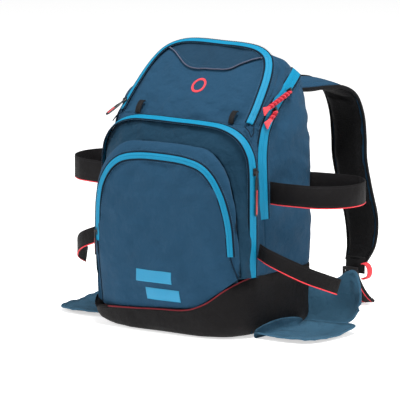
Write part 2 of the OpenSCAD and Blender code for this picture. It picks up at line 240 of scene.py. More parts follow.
def moulded(name, color, roughness=0.45, grain=0.25):
    """Moulded plastic or rubber with a fine grain."""
    mat, tree, shader = new_material(name, color, roughness)
    speck = noise(tree, coordinates(tree, "Object"), 900.0, 2.0)
    tint(tree, shader, color, speck, 0.88, 1.12)
    bump(tree, shader, speck, grain, 0.0003)
    return mat


def mesh_cloth(name, color):
    """Spacer mesh: small round pits in rows, painted darker in the pits and lighter on their rims as painted
    shade.
    """
    mat, tree, shader = new_material(name, color, 0.9, sheen=0.03, specular=0.12)
    pits = texture(tree, "Voronoi", coordinates(tree, "Object"), 380).outputs["Distance"]
    # Pit centres are painted darker and rims lighter: painted shade in the pits.
    tint(tree, shader, color, pits, 0.6, 2.2)
    bump(tree, shader, pits, 0.7, 0.0012)
    return mat


BLUE = woven("slate_blue_polyester", linear(30, 65, 90), creases=0.7)
YOKE = woven("yoke_polyester", linear(26, 55, 76), creases=0.6)
# The gusset cloth is the slate blue painted darker: painted shade for the sides that turn away from the
# lights.
GUSSET_PAINTED_SHADE = woven("gusset_polyester_painted_shade", linear(22, 54, 74), creases=0.8)
# The cradle cloth is painted lighter than the blue: painted light for the heel and cradle, which face away
# from the lamps.
CRADLE_PAINTED_LIGHT = woven("cradle_polyester_painted_light", linear(54, 90, 112), creases=0.8)
LINING = woven("lining", linear(24, 44, 58), pitch=0.7, roughness=0.85)
BASE = woven("coated_base_cloth", linear(16, 14, 15), pitch=1.3, roughness=0.62, sheen=0.02, depth=0.7,
             creases=0.5)
TAPE = ribbed("zip_tape", linear(0, 122, 160), pitch=1.4, roughness=0.5, depth=0.25)
WEBBING = ribbed("black_webbing", linear(15, 15, 17))
RED_CLOTH = woven("red_trim", linear(232, 66, 74), pitch=0.8, roughness=0.6)
DARK_RED = woven("dark_red_piping", linear(112, 36, 44), pitch=0.8)
BLACK_CLOTH = woven("black_binding", linear(16, 16, 18), pitch=0.9)
MESH = mesh_cloth("black_spacer_mesh", linear(12, 12, 13))
BLACK_PLASTIC = moulded("black_plastic", linear(28, 28, 30))
RED_RUBBER = moulded("red_rubber", linear(226, 62, 72), roughness=0.5)
ENAMEL = moulded("black_enamel", linear(20, 20, 22), roughness=0.3, grain=0.08)
PRINT = moulded("light_blue_print", linear(4, 128, 168), roughness=0.55, grain=0.15)
THREAD = woven("thread", linear(64, 100, 126), pitch=0.5)
DARK_THREAD = woven("dark_thread", linear(44, 44, 48), pitch=0.5)
# A dark copy of the blue for the thin tubes beside zips and along sewn edges: painted shade in those folds.
EDGE_SHADE = woven("zip_edge_painted_shade", linear(9, 26, 41), pitch=0.7)
FOLD = woven("yoke_fold_cloth", linear(84, 88, 106), pitch=0.8)
FOAM = moulded("black_foam", linear(30, 30, 32), roughness=0.9, grain=0.6)
# The second strand is a lighter copy of the red cord: painted highlight.
CORD_AND_HIGHLIGHT = [ribbed("red_cord", linear(168, 20, 36), pitch=1.8, depth=0.9),
         ribbed("red_cord_painted_highlight", linear(214, 62, 76), pitch=1.8, depth=0.9)]
SHEET_PLASTIC = moulded("frame_sheet_plastic", linear(74, 77, 80))


# ---------------------------------------------------------------- curves and meshes
def catmull(points, per_segment):
    """A smooth line through control points, with per_segment samples between each two."""
    p = np.asarray(points, float)
    p = np.concatenate([[2 * p[0] - p[1]], p, [2 * p[-1] - p[-2]]])
    out = []
    for k in range(1, len(p) - 2):
        for s in np.arange(per_segment) / per_segment:
            a, b, c, d = p[k - 1], p[k], p[k + 1], p[k + 2]
            out.append(0.5 * (2 * b + (c - a) * s + (2 * a - 5 * b + 4 * c - d) * s * s
                              + (3 * b - a - 3 * c + d) * s ** 3))
    out.append(p[-2])
    return np.array(out)


def mirrored(half):
    """The left half of a curve from its right half. If it ends on the base, it tucks in to the seam there."""
    half = np.asarray(half, float) * (-1, 1, 1)
    if half[-1, 2] < BASE_TOP + 2:
        half[-1, 0] += LEFT_TUCK * np.clip((-90 - half[-1, 1]) / 10, 0, 1)
        half[-1, 2] = seam_z(half[-1, 0], half[-1, 1])
    return half


def both_sides(half):
    """A whole curve from its right half, listed from the centre outwards: it runs left to right."""
    return np.concatenate([mirrored(half)[:0:-1], np.asarray(half, float)])


def even(line, count):
    """The same line with count points evenly spaced."""
    s = along_line(line)
    t = np.linspace(0, s[-1], count)
    return np.stack([np.interp(t, s, line[:, k]) for k in range(3)], axis=1)


def unit(v):
    return v / np.maximum(np.linalg.norm(v, axis=-1, keepdims=True), 1e-9)


def make_mesh(name, points, faces, material, uvs=None, smooth=True):
    mesh = bpy.data.meshes.new(name)
    mesh.from_pydata([tuple(p) for p in np.asarray(points) * MM], [], faces)
    if uvs is not None:
        layer = mesh.uv_layers.new(name="cloth")
        loops = np.array([l.vertex_index for l in mesh.loops])
        layer.data.foreach_set("uv", np.asarray(uvs)[loops].ravel())
    mesh.materials.append(material)
    if smooth:
        mesh.shade_smooth()
    return place(name, mesh)


def grid_uvs(grid):
    """Centimetres of cloth along both ways of a grid of points."""
    rows = np.linalg.norm(np.diff(grid, axis=0), axis=2).mean(1)
    cols = np.linalg.norm(np.diff(grid, axis=1), axis=2).mean(0)
    u = np.concatenate([[0], np.cumsum(rows)]) / 10
    v = np.concatenate([[0], np.cumsum(cols)]) / 10
    return np.stack(np.meshgrid(u, v, indexing="ij"), axis=2).reshape(-1, 2)


def grid_faces(m, n, flip=False, wrap=False):
    faces = []
    for i in range(m - 1):
        for j in range(n if wrap else n - 1):
            k = (j + 1) % n
            quad = (i * n + j, i * n + k, (i + 1) * n + k, (i + 1) * n + j)
            faces.append(quad[::-1] if flip else quad)
    return faces


def normals(grid):
    """Unit normals of a grid of points."""
    du = np.gradient(grid, axis=0)
    dv = np.gradient(grid, axis=1)
    return unit(np.cross(du, dv))


def facing(grid, outward):
    """1 if the grid's normals point towards outward, a direction, at its middle, and -1 if away."""
    i, j = grid.shape[0] // 2, grid.shape[1] // 2
    return 1 if np.dot(normals(grid)[i, j], outward) > 0 else -1


def soften(grid, outward, seed, swell=1.0, crease=0.35, pucker=0.35):
    """Moves a panel's points along its normals: broad swells, small creases, and puckers beside its seams."""
    inside = away_from_edges(grid, 16)
    beside = away_from_edges(grid, 2.5) * (1 - away_from_edges(grid, 12))
    height = inside * (rumple(grid, seed, 95, swell) + rumple(grid, seed + 1, 38, crease))
    height += beside * rumple(grid, seed + 2, 11, pucker)
    return grid + normals(grid) * (facing(grid, outward) * height)[..., None]


def cloth_patch(name, grid, material, outward, thickness=CLOTH_T, inner=None):
    """A fabric panel from a grid of points, with real thickness behind it and a lining on its inner side."""
    faces = grid_faces(*grid.shape[:2], flip=facing(grid, outward) > 0)
    obj = make_mesh(name, grid.reshape(-1, 3), faces, material, grid_uvs(grid))
    obj.data.materials.append(inner or LINING)
    thicken(obj, thickness).material_offset = 1
    return obj


def thicken(obj, thickness, offset=-1):
    solid = obj.modifiers.new("thickness", "SOLIDIFY")
    solid.thickness, solid.offset = thickness * MM, offset
    return solid


def loft(curves, steps):
    """A grid between matching curves: rows run along the curves, columns across them."""
    curves = np.array([np.asarray(c, float) for c in curves])
    return np.stack([catmull(curves[:, k], steps) for k in range(curves.shape[1])], axis=0)


def rumple(points, seed, size, depth, count=10):
    """Soft random swells, about size mm across and depth mm high, one value per point."""
    rng = np.random.default_rng(seed)
    p = np.asarray(points, float)
    total = np.zeros(p.shape[:-1])
    for _ in range(count):
        direction = rng.normal(size=3)
        direction /= np.linalg.norm(direction)
        wavelength = size * rng.uniform(0.6, 1.8)
        total += np.sin(2 * np.pi * (p @ direction) / wavelength + rng.uniform(0, 6.28)) * rng.uniform(0.4, 1)
    return total * depth / math.sqrt(count)


def away_from_edges(grid, reach):
    """0 at the grid's edges, rising to 1 reach mm inside them."""
    m, n = grid.shape[:2]
    rows, cols = (np.cumsum(np.linalg.norm(np.diff(grid, axis=k), axis=2), axis=k) for k in (0, 1))
    rows = np.concatenate([np.zeros((1, n)), rows])
    cols = np.concatenate([np.zeros((m, 1)), cols], axis=1)
    edge = np.minimum(np.minimum(rows, rows[-1:] - rows), np.minimum(cols, cols[:, -1:] - cols))
    t = np.clip(edge / reach, 0, 1)
    return t * t * (3 - 2 * t)


def along_line(line):
    """How far each point is from the line's start, along it."""
    return np.concatenate([[0], np.cumsum(np.linalg.norm(np.diff(line, axis=0), axis=1))])


def tube_faces(m, n):
    """Faces of m rings of n points, closed at both ends."""
    return grid_faces(m, n, wrap=True) + [tuple(range(n))[::-1], tuple((m - 1) * n + k for k in range(n))]


def sweep(name, line, across, up, profile, material):
    """A closed profile [(across, up)] in mm, swept along a line. The two directions may change along it."""
    line, profile = np.asarray(line, float), np.asarray(profile, float)
    across, up = (np.broadcast_to(v, line.shape) for v in (across, up))
    rings = line[:, None] + across[:, None] * profile[None, :, :1] + up[:, None] * profile[None, :, 1:2]
    uvs = np.stack(np.meshgrid(along_line(line) / 10, along_line(profile) / 10, indexing="ij"), axis=2)
    return closed_mesh(name, rings.reshape(-1, 3), tube_faces(*rings.shape[:2]), material, uvs.reshape(-1, 2))


def closed_mesh(*parts, **options):
    """A closed mesh: points that no face uses are dropped, and its faces point outwards."""
    obj = make_mesh(*parts, **options)
    bm = bmesh.new()
    bm.from_mesh(obj.data)
    bmesh.ops.delete(bm, geom=[v for v in bm.verts if not v.link_faces], context="VERTS")
    bmesh.ops.recalc_face_normals(bm, faces=bm.faces)
    bm.to_mesh(obj.data)
    bm.free()
    return obj


def tube_profile(radius, sides=8):
    turns = [2 * math.pi * k / sides for k in range(sides)]
    return [(radius * math.cos(a), radius * math.sin(a)) for a in turns]


def flat_profile(width, thickness, bevel=0.4):
    w, t, b = width / 2, thickness, bevel
    return [(-w, b), (-w + b, 0), (w - b, 0), (w, b), (w, t - b), (w - b, t), (-w + b, t), (-w, t - b)]


def zip_profile(width):
    """A coated zip seen end on: two flat tapes with rolled edges that meet in a groove."""
    w = width / 2
    return [(-w, -0.6), (w, -0.6), (w, 0.6), (w - 0.7, 1.3), (w - 2.2, 1.5), (1.6, 1.8), (0.5, 1.9), (0, 1.1),
            (-0.5, 1.9), (-1.6, 1.8), (-w + 2.2, 1.5), (-w + 0.7, 1.3), (-w, 0.6)]


def stitch_row(name, line, up, body, material=DARK_THREAD, length=2.6, pitch=3.8, radius=0.28):
    """A row of thread stitches lying on a surface."""
    line = np.asarray(line, float)
    count = max(2, int(along_line(line)[-1] / pitch))
    centres = even(line, count)
    ups = unit(even(np.broadcast_to(up, line.shape), count))
    along = unit(np.gradient(centres, axis=0))
    stations = ((-0.5, 0.35), (-0.3, 1), (0.3, 1), (0.5, 0.35))     # share of the length, share of the radius
    points, faces = [], []
    for c, u, a, s in zip(centres, ups, along, unit(np.cross(ups, along))):
        faces += [tuple(len(points) + k for k in face) for face in tube_faces(len(stations), STITCH_SIDES)]
        for shift, scale in stations:
            ring = tube_profile(radius * scale, STITCH_SIDES)
            points += [c + a * length * shift + s * across + u * out for across, out in ring]
    piece(closed_mesh(name, points, faces, material), body)


def piece(obj, body, replaces=()):
    """Every piece rides on one body, and may stand for CAD nodes."""
    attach(obj, body)
    if replaces:
        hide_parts(*replaces)
    return obj


def panel(name, grid, material, outward, body, replaces=(), thickness=CLOTH_T, inner=None):
    return piece(cloth_patch(name, grid, material, outward, thickness, inner), body, replaces)


def strip(name, line, across, up, profile, material, body, replaces=()):
    return piece(sweep(name, line, across, up, profile, material), body, replaces)


def puff(obj, cap, voxel=4.0, pressure=4.0, frames=20):
    """Swells a closed piece by cloth simulation under pressure. No point moves more than cap mm."""
    scene = bpy.context.scene
    remesh = obj.modifiers.new("remesh", "REMESH")
    remesh.mode, remesh.voxel_size = "VOXEL", voxel * MM
    bake_modifiers(obj)
    rest = vertex_array(obj.data)
    cloth = obj.modifiers.new("cloth", "CLOTH")
    cloth.settings.use_pressure = True
    cloth.settings.uniform_pressure_force = pressure
    cloth.settings.effector_weights.gravity = 0
    for number in range(1, frames + 1):
        scene.frame_set(number)
    swollen = obj.evaluated_get(bpy.context.evaluated_depsgraph_get())
    move = vertex_array(swollen.data) - rest
    obj.modifiers.remove(cloth)
    reach = np.linalg.norm(move, axis=1, keepdims=True)
    move *= np.minimum(1, cap * MM / np.maximum(reach, 1e-9))
    obj.data.vertices.foreach_set("co", (rest + move).astype(np.float32).ravel())
    obj.data.shade_smooth()
    scene.frame_set(1)
    obj.modifiers.new("smooth", "SUBSURF").levels = 1


def vertex_array(mesh):
    points = np.empty(len(mesh.vertices) * 3, np.float32)
    mesh.vertices.foreach_get("co", points)
    return points.reshape(-1, 3).astype(float)


def bake_modifiers(obj):
    """Replaces a mesh with what its modifiers make of it."""
    shaped = obj.evaluated_get(bpy.context.evaluated_depsgraph_get())
    mesh = bpy.data.meshes.new_from_object(shaped)
    obj.modifiers.clear()
    obj.data = mesh


# ---------------------------------------------------------------- the bag's seam lines
# Each is its right half: nine stations from the top centre, round the shoulder and down.
def on_slope(x, v, out=0.0):
    """A point on the hood's front plane: x across, v up the plane, out in front of it."""
    up_y, up_z = SLOPE[1], SLOPE[2]
    return [x, SLOPE_FOOT[0] + up_y * v - up_z * out, SLOPE_FOOT[1] + up_z * v + up_y * out]


PER = 10          # samples between two stations
OUT_OF_SLOPE = np.array([0, -SLOPE[2], SLOPE[1]])
UPPER_ZIP = [on_slope(*p) for p in ((0, 166), (45, 166), (80, 162), (106, 150), (121, 131), (131, 100),
                                    (137, 60), (140, 30), (141, 3))]
MAIN_ZIP_TOP = [[0, 125, 456], [45, 125, 456], [85, 125, 456], [113, 123, 455.5], [127, 114, 453],
                [142, 74, 439], [150.5, 31, 419.5], [156, 0, 397], [157.5, -12, 381]]
HOOD_RIDGE = [[0, 104, 490], [45, 104, 489], [84, 102, 486], [114, 95, 478], [128, 82, 468],
              [141, 46, 448], [149, 11, 423], [152, -14, 401], [153, -30, 382]]
MIDDLE_ZIP = [[0, -62, 379], [55, -62, 379], [100, -62, 376], [134, -62, 363], [155, -62, 340],
              [164, -62, 308], [165, -62, 230], [165, -62, 165], [164.5, -62, 111]]
PACK_SHOULDER = [[0, -46, 380], [55, -46, 380], [105, -46, 380], [146, -43, 379], [158.5, -26, 368],
                 [164, -38, 308], [164.5, -35, 230], [165, -31, 165], [165, -28, 111]]
CREASE = [[0, -91, 343], [52, -91, 342], [92, -91, 335], [121, -92, 312], [139, -93, 277],
          [148, -94, 236], [153.5, -95, 186], [157, -95, 145], [160, -94, 112]]
POCKET_EDGE = [[0, -107, 338], [54, -107, 337], [97, -107, 329], [127, -107, 305], [145, -106, 270],
               [154, -105, 230], [158, -104, 184], [159, -101, 145], [158.5, -98, 112]]
POCKET_ZIP = [[0, -119, 320], [50, -119, 318], [87, -120, 310], [112, -121, 292], [130, -120, 264],
              [139, -117, 236], [144.5, -113, 202], [147, -110, 153], [157, -100, 112]]
CORNER = 3        # the station where an outline's top turns into its side


def whole(half):
    return catmull(both_sides(half), PER)


def seam_z(x, y):
    """Height of the base's front seam: it turns up at a bend on the right, and at the corner on the left."""
    x, y = np.asarray(x, float), np.asarray(y, float)
    past_bend = x - 82
    early = 45 + 0.06 * x + 0.36 * (past_bend + np.sqrt(past_bend ** 2 + 10 ** 2))
    flat = 45.2 - 0.07 * np.abs(x)
    late = flat + (BASE_TOP - flat) * np.clip((y + 104) / 42, 0, 1) ** 1.3
    return np.minimum(np.where(x > 0, early, late), BASE_TOP)


def coons(top, bottom, left, right):
    """A grid filling four edges: top and bottom run left to right, left and right run downwards."""
    s = np.linspace(0, 1, len(top))[None, :, None]
    t = np.linspace(0, 1, len(left))[:, None, None]
    across = left[:, None] * (1 - s) + right[:, None] * s
    down = top[None] * (1 - t) + bottom[None] * t
    corners = (top[0] * (1 - s) + top[-1] * s) * (1 - t) + (bottom[0] * (1 - s) + bottom[-1] * s) * t
    return across + down - corners


def inside_outline(half, bottom, columns, rows):
    """A grid inside a mirrored outline, whose bottom edge is the given function of s from 0 to 1."""
    line = catmull(half, PER)
    corner = CORNER * PER
    top = even(both_sides(line[:corner + 1]), columns)
    right = even(line[corner:], rows)
    left = even(catmull(mirrored(half), PER)[corner:], rows)
    low = np.array([bottom(s) for s in np.linspace(0, 1, columns)])
    return coons(top, low, left, right)


def crown(grid, depth, power=2.6):
    """How far a stuffed panel stands out at each of its points."""
    m, n = grid.shape[:2]
    s = 1 - np.abs(np.linspace(-1, 1, n)) ** power
    t = 1 - np.abs(np.linspace(-1, 1, m)) ** power
    return depth * t[:, None] * s[None, :]


# ---------------------------------------------------------------- zips and stitching
def zip_line(name, line, up, width, body, replaces):
    """A coated zip along a seam: its tape, a dark tube on each side at the turned edge, painted dark as the
    shade there, and a row of stitches beyond.
    """
    up = unit(up)
    across = unit(np.cross(unit(np.gradient(line, axis=0)), up))
    strip(name, line, across, up, zip_profile(width), TAPE, body, replaces)
    for label, side in (("inner", -1), ("outer", 1)):
        edge = line + across * side * (width / 2 + 0.7)
        # Painted shade: the dark tube along each turned edge.
        strip(f"{name}_{label}_edge", edge, across, up, tube_profile(1.6), EDGE_SHADE, body)
        seam = line + across * side * (width / 2 + 4.2) + up * 0.3
        stitch_row(f"{name}_{label}_stitches", seam, up, body, THREAD)


def tube(name, line, radius, material, body, replaces=()):
    """A round cord. Its sides follow a slanting guide that no cord here runs along."""
    along = unit(np.gradient(line, axis=0))
    across = unit(np.cross(along, (0.31, 0.17, 0.93)))
    strip(name, line, across, np.cross(across, along), tube_profile(radius), material, body, replaces)


def outward_xz(line, centre=(0, 0, 200)):
    """Directions square to a line that lies in a front-facing plane, pointing away from a centre."""
    along = unit(np.gradient(line, axis=0))
    out = unit(np.cross(along, Y))
    away = np.sign(np.sum(out * (line - centre), axis=1, keepdims=True))
    return out * away


# ---------------------------------------------------------------- front pocket and middle section
def front_panel():
    """The pocket's front: one stuffed panel inside its zip, running on down to the base."""
    def bottom(s):
        x = (2 * s - 1) * (POCKET_ZIP[-1][0] - LEFT_TUCK * (s < 0.5))
        y = -123 + 23 * abs(2 * s - 1) ** 3.5
        return [x, y, seam_z(x, y)]
    grid = inside_outline(POCKET_ZIP, bottom, 81, 91)
    grid[..., 1] -= crown(grid, 10.5)
    grid = soften(grid, -Y, 3, swell=2.6, crease=1.1, pucker=0.8)
    obj = cloth_patch("front_panel", grid, BLUE, -Y)
    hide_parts("pocket_flap", "pocket_lower_panel")
    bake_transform(obj)
    return grid


def middle_block():
    """Everything between the middle zip and the pocket's zip: gusset, tucked crease and pocket edge."""
    zip_line_c, crease, edge, pocket = (whole(c) for c in (MIDDLE_ZIP, CREASE, POCKET_EDGE, POCKET_ZIP))
    out = outward_xz(crease)
    tuck = crease - out * 6 + (0, 4, 0)
    belly = (zip_line_c + crease) / 2 + out * 3.0
    rim = crease + out * 0.5 + (0, 1.5, 0)
    gusset = soften(loft([zip_line_c, belly, rim, tuck], 8), Z, 11, swell=2.4, crease=1.3, pucker=0.8)
    # The gusset is drawn in the darker copy of the blue: painted shade.
    panel("middle_gusset_cloth", gusset, GUSSET_PAINTED_SHADE, Z, "middle_section", ["middle_gusset"])
    roll = loft([tuck + (0, -2, 0), crease + (0, -5, 0), edge, pocket], 8)
    roll = soften(roll, Z, 13, swell=1.8, crease=1.1, pucker=0.8)
    panel("pocket_edge_cloth", roll, BLUE, Z, "middle_section", ["pocket_gusset"])


def middle_zips():
    line = even(whole(MIDDLE_ZIP), 220) + (0, -5.5, 0)
    out = outward_xz(line)
    lean = math.radians(19)
    up = out * math.cos(lean) - Y * math.sin(lean)
    zip_line("middle_zip_tape", line + out * 0.2, up, TAPE_W + 2, "middle_section", ["middle_zip_track"])
    line = even(whole(POCKET_ZIP[:-1]), 200)
    up = unit(outward_xz(line) * 0.3 - Y)
    zip_line("pocket_zip_tape", line + up * 0.2, up, TAPE_W - 1, "middle_section", ["pocket_zip_track"])


def pocket_side_seams():
    """The sewn edge that runs on from each end of the pocket's zip to the base."""
    for half, inward, label in ((np.array(POCKET_ZIP), -3, "right"), (mirrored(POCKET_ZIP), 3, "left")):
        line = catmull(half, PER)[-PER - 1:] + (0, -0.6, 0)
        # The dark tube is painted shade along the sewn edge's fold.
        tube(f"pocket_side_seam_{label}", line, 0.9, EDGE_SHADE, "middle_section")
        seam = line + (inward, -1.2, 0)
        stitch_row(f"pocket_side_stitches_{label}", seam, -Y, "middle_section", THREAD)


def front_bars(grid):
    """Two plain bars printed low on the pocket."""
    flat, (rows, columns) = grid.reshape(-1, 3), (10, 40)
    points, faces = [], []
    for low_x, high_x, low_z, high_z in ((-44, 34, 94, 116), (-24, 50, 62, 84)):
        faces += [tuple(k + len(points) for k in face) for face in grid_faces(rows, columns)]
        points += [drop_onto(flat, (x, 0, z), Y) - Y * 0.5
                   for z in np.linspace(high_z, low_z, rows) for x in np.linspace(low_x, high_x, columns)]
    obj = make_mesh("pocket_bars", points, faces, PRINT)
    thicken(obj, 0.3, offset=0)
    piece(obj, "middle_section", ["pocket_mark"])


def drop_onto(points, p, way):
    """The point of a panel that lies square to p along a way, from the panel's four nearest points."""
    p = np.asarray(p, float)
    out = (points - p) @ way
    near = np.sum((points - p - out[:, None] * way) ** 2, axis=1)
    nearest = np.argpartition(near, 4)[:4]
    weight = 1 / (near[nearest] + 0.01)
    return p + way * float(np.sum(out[nearest] * weight) / weight.sum())


def pocket_back():
    """The wall between the pocket and the middle compartment."""
    def bottom(s):
        x = (2 * s - 1) * 152
        return [x, -95, seam_z(x, -95)]
    half = [[x * 0.97, -95, z - 4] for x, _, z in CREASE]
    half[-1] = [152, -95, seam_z(152, -95)]
    grid = soften(inside_outline(half, bottom, 41, 41), -Y, 17, swell=1.0)
    panel("pocket_back_cloth", grid, LINING, -Y, "middle_section", ["pocket_back_wall"], 1.2)


# ---------------------------------------------------------------- hood
def upper_panel():
    def bottom(s):
        return on_slope((2 * s - 1) * 139, -2.5)
    half = [[p[0] - 2 * p[0] / 141, p[1], p[2]] for p in UPPER_ZIP]
    half[-1] = on_slope(139, -2.5)
    grid = inside_outline(half, bottom, 71, 51)
    bulge = crown(grid, 5.5)[..., None] * OUT_OF_SLOPE
    grid = soften(grid + bulge, OUT_OF_SLOPE, 23, swell=2.6, crease=1.2, pucker=0.7)
    panel("upper_panel_cloth", grid, BLUE, OUT_OF_SLOPE, "upper_flap", ["upper_panel"])
    return grid


def yoke(upper):
    """The separate top piece of the upper panel, with a folded lower edge that casts a line of shadow."""
    fold = [(0, 103), (24, 103.5), (40, 105), (54, 111), (68, 121), (86, 134), (102, 142), (110, 145)]
    top = [(0, 168), (45, 168), (80, 163), (100, 154), (110, 145)]
    low, high = (catmull([on_slope(-x, v) for x, v in half[:0:-1]] + [on_slope(x, v) for x, v in half], 8)
                 for half in (fold, top))
    high = even(high, len(low))
    flat = upper.reshape(-1, 3)
    rows = []
    for t in np.linspace(0, 1, 26):
        lifted = [drop_onto(flat, p, OUT_OF_SLOPE) for p in low * (1 - t) + high * t]
        rows.append(np.array(lifted) + OUT_OF_SLOPE * (1.2 + 2.4 * math.exp(-(t / 0.09) ** 2)))
    under = rows[0] - OUT_OF_SLOPE * 3.2 + np.array(SLOPE) * 2.2
    grid = np.array([under] + rows)
    panel("yoke_cloth", grid, YOKE, OUT_OF_SLOPE, "upper_flap", ["yoke_panel"], 1.0)
    tube("yoke_fold", rows[0] - OUT_OF_SLOPE * 0.2, 1.1, FOLD, "upper_flap")
    stitch_row("yoke_stitches", rows[3] + OUT_OF_SLOPE * 0.3, OUT_OF_SLOPE, "upper_flap", THREAD)


def hood_cloth():
    """The hood's gusset, from the upper zip over the top and sides to the main zip. It ends over the pack."""
    tips = ((142.5, -47.5, 375), (156.5, -33, 373), (161, -18, 372))
    upper, ridge, main = (whole(c + [tip]) for c, tip in zip((UPPER_ZIP, HOOD_RIDGE, MAIN_ZIP_TOP), tips))
    grid = loft([upper, (upper + ridge) / 2 + outward_xz(upper, (0, 0, 380)) * 1.5, ridge,
                 (ridge + main) / 2 + (0, 3, 1), main], 7)
    along = np.linspace(0, 1, grid.shape[0])[:, None]
    across = np.linspace(0, 1, grid.shape[1])[None, :]
    valley = np.exp(-((across - 0.34 - 0.1 * np.sin(along * 18)) / 0.07) ** 2)
    folds = valley * np.clip(np.sin(along * 3.14), 0, 1)
    grid = grid - normals(grid) * (facing(grid, Z) * folds * 4.5)[..., None]
    grid = soften(grid, Z, 31, swell=3.0, crease=1.6, pucker=0.7)
    panel("hood_cloth", grid, BLUE, Z, "hood",
          ["hood_side_left", "hood_side_right", "hood_top_strip"])


def storm_flap():
    """The hood's lining hangs a little way into the pack behind the main zip, so no light comes through."""
    line = whole(MAIN_ZIP_TOP[:6]) * (0.955, 0.95, 1)
    grid = loft([line + (0, 0, rise) for rise in (5, -4, -14)], 4)
    panel("storm_flap_cloth", grid, LINING, Z, "hood", thickness=1.0)


def upper_zip():
    line = even(whole(UPPER_ZIP), 200) + OUT_OF_SLOPE * 1.6
    outward = unit(np.cross(unit(np.gradient(line, axis=0)), OUT_OF_SLOPE))
    outward *= np.sign(np.sum(outward * (line - on_slope(0, 80)), axis=1, keepdims=True))
    lean = math.radians(30)
    up = OUT_OF_SLOPE * math.cos(lean) + outward * math.sin(lean)
    zip_line("upper_zip_tape", line, up, TAPE_W, "hood", ["upper_zip_track"])


def hood_inner():
    """The wall inside the hood, square behind its front."""
    depth = -34

    def bottom(s):
        return on_slope((2 * s - 1) * 128, 8, depth)
    half = [on_slope(x * 0.86, v, depth) for x, v in ((0, 148), (45, 148), (80, 143), (107, 129), (121, 108),
                                                      (131, 74), (137, 44), (140, 24), (141, 8))]
    grid = soften(inside_outline(half, bottom, 31, 31), OUT_OF_SLOPE, 37, swell=0.8)
    panel("hood_inner_cloth", grid, LINING, OUT_OF_SLOPE, "hood", ["hood_inner_wall"], 1.2)


def front_ring(upper):
    """The plain ring that marks the upper panel."""
    flat, ring, sides = upper.reshape(-1, 3), [], 48
    for k in range(sides):
        a = 2 * math.pi * k / sides
        for radius, out in ((11.2, 0), (11.6, 0.9), (15.4, 0.9), (15.8, 0)):
            place = on_slope(radius * math.cos(a), 68 + radius * math.sin(a))
            ring.append(drop_onto(flat, place, OUT_OF_SLOPE) + OUT_OF_SLOPE * out)
    faces = [tuple(k % (4 * sides) for k in face) for face in grid_faces(sides + 1, 4, wrap=True)]
    obj = closed_mesh("front_ring", ring, faces, RED_RUBBER, smooth=False)
    piece(obj, "upper_flap", ["front_mark"])


def loop_tabs():
    """Two folded webbing loops low on the upper panel."""
    for side, label in SIDES:
        x = side * 103
        stations = ((-2, 2.4), (1, 4.2), (6, 6.4), (12, 7.4), (18, 7.0), (22, 5.2), (22.5, 3.8))
        line = catmull([on_slope(x, v, out) for v, out in stations], 5)
        up = np.cross(X, unit(np.gradient(line, axis=0)))
        strip(f"loop_tab_webbing_{label}", line, X, up, flat_profile(11, WEBBING_T), WEBBING, "upper_flap",
              [f"loop_tab_{label}"])
        for v, out in ((0, 5.6), (21, 7.4)):
            bar = [on_slope(x + dx, v, out) for dx in np.linspace(-4.5, 4.5, 8)]
            stitch_row(f"loop_tab_tack_{label}_{v}", bar, OUT_OF_SLOPE, "upper_flap", pitch=3)


# ---------------------------------------------------------------- main compartment
PLAN = [[0, -128], [60, -127.5], [100, -123], [130, -113], [148, -99], [158, -82], [163, -62], [164.5, -25],
        [164, 20], [164.5, 70], [163, 102], [156, 120], [128, 125], [60, 126], [0, 126]]
BASE_NODES = ["base_floor", "base_front", "base_panel"]
SLUMPED_CORNER = [[134, -117], [155, -106], [162, -86]]       # the base's left front corner bulges
ROUNDING = 34     # height at which the base's sides stand upright
LEG = [[165, -28, 111], [165, -31, 165], [164, -33, 212], [164.2, -36, 256], [164, -38, 300], [162, -36, 330],
       [160, -27, 364], [157, -14, 380], [156, 0, 397], [150.5, 31, 419.5], [142, 74, 439], [130, 110, 452],
       [124, 122, 455]]


def outline_x(z):
    """Half width of the bag at a height, as a share of its widest."""
    return np.interp(z, [0, 345, 385, 412, 435, 458], [1, 1, 0.965, 0.93, 0.885, 0.83])


def side_cloth(side, label):
    """The side of the main compartment, from the main zip round to the back."""
    plan_x, plan_y = np.array(PLAN[6:13]).T
    back = np.linspace(0, 1, 34)            # from the main zip to the back's edge
    rows = []
    for front_x, front_y, z in catmull(LEG, 6):
        y = front_y + (BACK_Y - front_y) * back ** 0.9
        x = np.interp(y, plan_y, plan_x) * outline_x(z)
        x += (front_x - x[0]) * (1 - back) ** 2
        x[-1] = min(x[-1], 118)
        rows.append(np.stack([x * side, y, np.full(len(back), z)], axis=1))
    grid = np.array(rows)
    bulge = away_from_edges(grid, 70)[..., None] * X * side * 6
    grid = soften(grid + bulge, X * side, 41 + side, swell=2.8, crease=1.3, pucker=0.8)
    panel(f"side_cloth_{label}", grid, BLUE, X * side, "pack", [f"side_panel_{label}"])


def shoulder_cloth():
    """The strip between the middle zip and the main zip, with the ledge that the hood's panel closes on."""
    front, back = whole(MIDDLE_ZIP) + (0, 1.5, 0), whole(PACK_SHOULDER)
    middle = (front + back) / 2 - outward_xz(front) * 1.5
    grid = soften(loft([front, middle, back], 8), Z, 47, swell=0.8, crease=0.5)
    panel("shoulder_cloth", grid, BLUE, Z, "pack")


def shoulder_seams():
    """Below each end of the upper zip, two sewn edges run together down to the middle zip."""
    tip = (153, -56, 362)
    seams = {"inner": [(136, -52, 379), (146, -54, 372), tip],
             "outer": [(148, -41, 377), (152, -47, 369), tip]}
    for side, label in SIDES:
        for name, route in seams.items():
            line = catmull(np.array(route) * (side, 1, 1), 8) + (side * 0.5, -0.5, 0.6)
            # The dark tubes are painted shade along the sewn edges.
            tube(f"shoulder_seam_{name}_{label}", line, 0.9, EDGE_SHADE, "pack")


